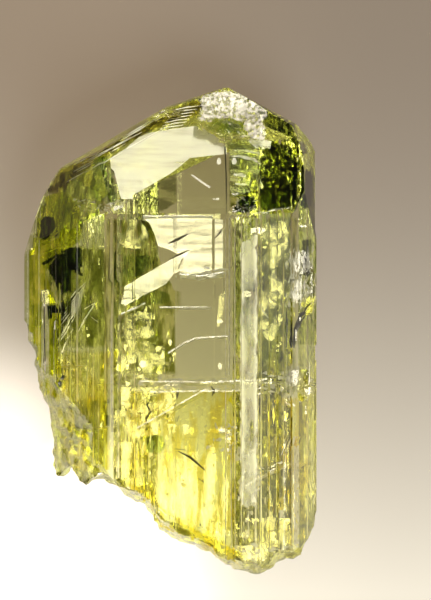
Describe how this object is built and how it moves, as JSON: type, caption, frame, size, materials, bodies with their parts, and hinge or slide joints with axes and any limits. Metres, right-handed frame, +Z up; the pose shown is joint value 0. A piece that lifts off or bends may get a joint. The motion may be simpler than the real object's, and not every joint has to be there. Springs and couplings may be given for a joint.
{
  "type": "gem crystal specimen",
  "caption": "Loose gem zoisite crystal: a clear yellow-green striated prism with a wedge-shaped tip and a broken base, lying on its flat back face.",
  "frame": {"origin": "under the middle of the crystal, on the surface that it lies on", "axes": "+Y along the crystal from its broken base to its tip, +X across it towards the steep side, +Z up through its thickness from the flat back face to the front face"},
  "size_m": [0.018, 0.03, 0.0104],
  "materials": {
    "zoisite": "clear, glassy, finely striated; frosted on the tip and rough on the breaks"
  },
  "bodies": {
    "root": {"zoisite_crystal": "zoisite"}
  },
  "joints": []
}
